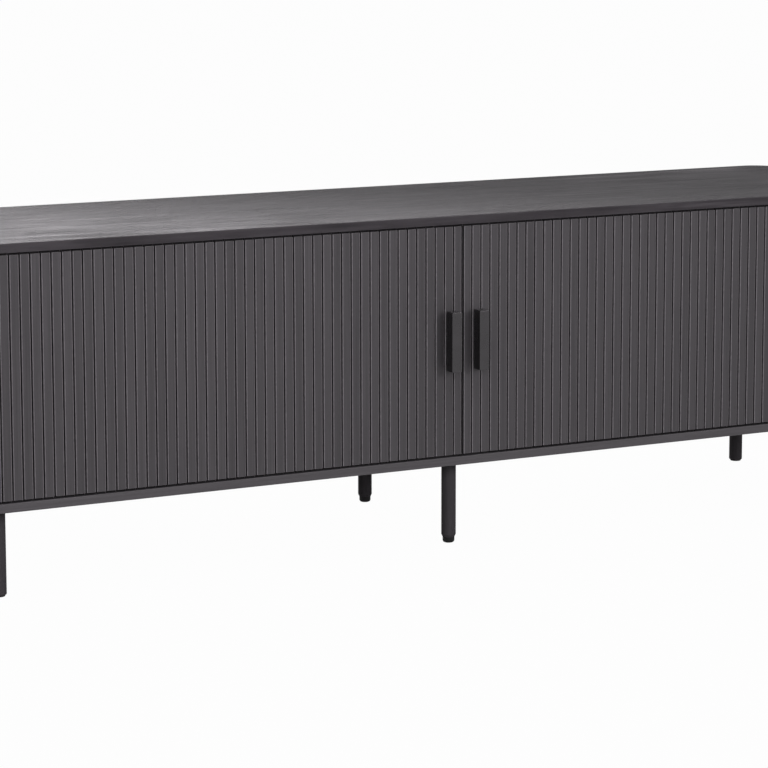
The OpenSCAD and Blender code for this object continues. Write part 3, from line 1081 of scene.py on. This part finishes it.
def add_camera():
    lens = bpy.data.cameras.new("camera")
    lens.lens = CAMERA_LENS
    lens.shift_y = CAMERA_SHIFT
    lens.clip_end = 100.0
    camera = bpy.data.objects.new("camera", lens)
    turn = (
        Matrix.Rotation(-CAMERA_YAW, 3, "Z")
        @ Matrix.Rotation(math.pi / 2 - CAMERA_PITCH, 3, "X")
        @ Matrix.Rotation(-CAMERA_ROLL, 3, "Z")
    )
    camera.matrix_world = Matrix.Translation(CAMERA_PLACE) @ turn.to_4x4()
    bpy.context.scene.collection.objects.link(camera)
    bpy.context.scene.camera = camera


def add_softbox(name, place, target, width, height, level, roll=0.0):
    """A soft light at a place that points at a target, rolled by some degrees about its own axis.

    level is the brightness that it alone gives a white surface at the target that faces it."""
    lamp = bpy.data.lights.new(name, "AREA")
    lamp.shape = "RECTANGLE"
    lamp.size = width
    lamp.size_y = height
    aim = target - place
    lamp.energy = level * (math.pi * aim.length) ** 2
    lamp.color = LAMP_TINT
    light = bpy.data.objects.new(name, lamp)
    light.location = place
    turn = Quaternion((0.0, 0.0, 1.0), math.radians(roll))
    light.rotation_euler = (aim.to_track_quat("-Z", "Y") @ turn).to_euler()
    light.visible_camera = False
    bpy.context.scene.collection.objects.link(light)


def far_place(azimuth, elevation, distance):
    """A place seen from the sideboard at an azimuth (0 is in front, 90 to the right) and an elevation."""
    around, up = math.radians(azimuth), math.radians(elevation)
    level = math.cos(up)
    away = Vector((math.sin(around) * level, -math.cos(around) * level, math.sin(up)))
    return MIDDLE + away * distance


def seen_directly(finish):
    """1 for rays that show the white background: camera, glossy and transmission rays."""
    names = ("Is Camera Ray", "Is Glossy Ray", "Is Transmission Ray")
    camera, glossy, through = (finish.node("LightPath", output=name) for name in names)
    return camera.most(glossy).most(through)


def add_floor():
    """A pale floor that reads as the white background and keeps a faint shadow."""
    finish = Finish("floor")
    mottle = finish.noise(finish.place(), 2.0, 4.0)
    paint = finish.mix(mottle, opaque(FLOOR_DARK), opaque(FLOOR_PALE))
    matt = finish.node("BsdfDiffuse", {}, {"Color": paint})
    glow = finish.node("Emission", {}, {"Color": WHITE, "Strength": 1.0})
    blend = finish.node("MixShader", {}, {0: seen_directly(finish) * FLOOR_WHITE, 1: matt, 2: glow})
    finish.node("OutputMaterial", {}, {"Surface": blend}, output=None)
    bm = bmesh.new()
    bmesh.ops.create_circle(bm, cap_ends=True, radius=FLOOR_RADIUS, segments=96)
    mesh = bpy.data.meshes.new("floor")
    bm.to_mesh(mesh)
    bm.free()
    mesh.materials.append(finish.material)
    floor = bpy.data.objects.new("floor", mesh)
    bpy.context.scene.collection.objects.link(floor)


class SkyFinish(Finish):
    """The node tree of the world."""

    def __init__(self, name):
        self.world = bpy.data.worlds.new(name)
        self.world.use_nodes = True
        self.tree = self.world.node_tree
        self.tree.nodes.clear()


def add_sky(level):
    """White for the rays that see it directly, and a plain grey light for all others."""
    sky = SkyFinish("sky")
    strength = level + seen_directly(sky) * (1.0 - level)
    glow = sky.node("Background", {}, {"Color": WHITE, "Strength": strength})
    sky.node("OutputWorld", {}, {"Surface": glow}, output=None)
    bpy.context.scene.world = sky.world


class BuildStage(bpy.types.Operator):
    """Builds the floor, the white surroundings, the lights and the camera."""

    bl_idname = "sideboard.stage"
    bl_label = "Stage"

    def execute(self, context):
        context.scene.view_settings.view_transform = "Standard"
        add_camera()
        add_floor()
        add_sky(SKY_LEVEL)
        floor_in_front = Vector((-0.5, -0.7, 0.0))
        middle_of_top = Vector((-0.1, 0.0, CAD_BOX[1].z))
        add_softbox("key_light", far_place(26, 19, 9.0), MIDDLE, 3.2, 3.0, 0.36)
        add_softbox("fill_light", far_place(-26, 18, 3.6), MIDDLE, 1.6, 1.6, 0.37)
        add_softbox("floor_light", Vector((-0.5, -1.2, 2.3)), floor_in_front, 1.6, 0.8, 0.10)
        add_softbox("top_light", far_place(-20, 75, 6.0), MIDDLE, 4.0, 4.0, 0.14)
        add_softbox("rim_light", Vector((0.3, 0.9, 0.81)), middle_of_top, 2.6, 0.12, 1.6, -2.2)
        return {"FINISHED"}


# ---------- add-on ----------


BUILDERS = (
    BuildStage,
    BuildBoards,
    BuildShells,
    BuildSlats,
    BuildLeadStiles,
    BuildCanvas,
    BuildHandles,
    BuildLegs,
    BuildFeet,
    BuildInterior,
    BuildHardware,
)


class SideboardPanel(bpy.types.Panel):
    """Lists the sizes, colours and builders of the sideboard."""

    bl_idname = "VIEW3D_PT_sideboard"
    bl_label = "Sideboard"
    bl_space_type = "VIEW_3D"
    bl_region_type = "UI"
    bl_category = "Sideboard"

    def draw(self, context):
        for group in (context.scene.sideboard_sizes, context.scene.sideboard_colours):
            box = self.layout.box()
            for name in group.__annotations__:
                box.prop(group, name)
        for builder in BUILDERS:
            self.layout.operator(builder.bl_idname)


CLASSES = (SideboardSizes, SideboardColours, *BUILDERS, SideboardPanel)


def register():
    for cls in CLASSES:
        bpy.utils.register_class(cls)
    bpy.types.Scene.sideboard_sizes = bpy.props.PointerProperty(type=SideboardSizes)
    bpy.types.Scene.sideboard_colours = bpy.props.PointerProperty(type=SideboardColours)


def unregister():
    del bpy.types.Scene.sideboard_colours
    del bpy.types.Scene.sideboard_sizes
    for cls in reversed(CLASSES):
        bpy.utils.unregister_class(cls)


def main():
    register()
    for builder in BUILDERS:
        group, name = builder.bl_idname.split(".")
        getattr(getattr(bpy.ops, group), name)()


if __name__ == "__main__":
    main()
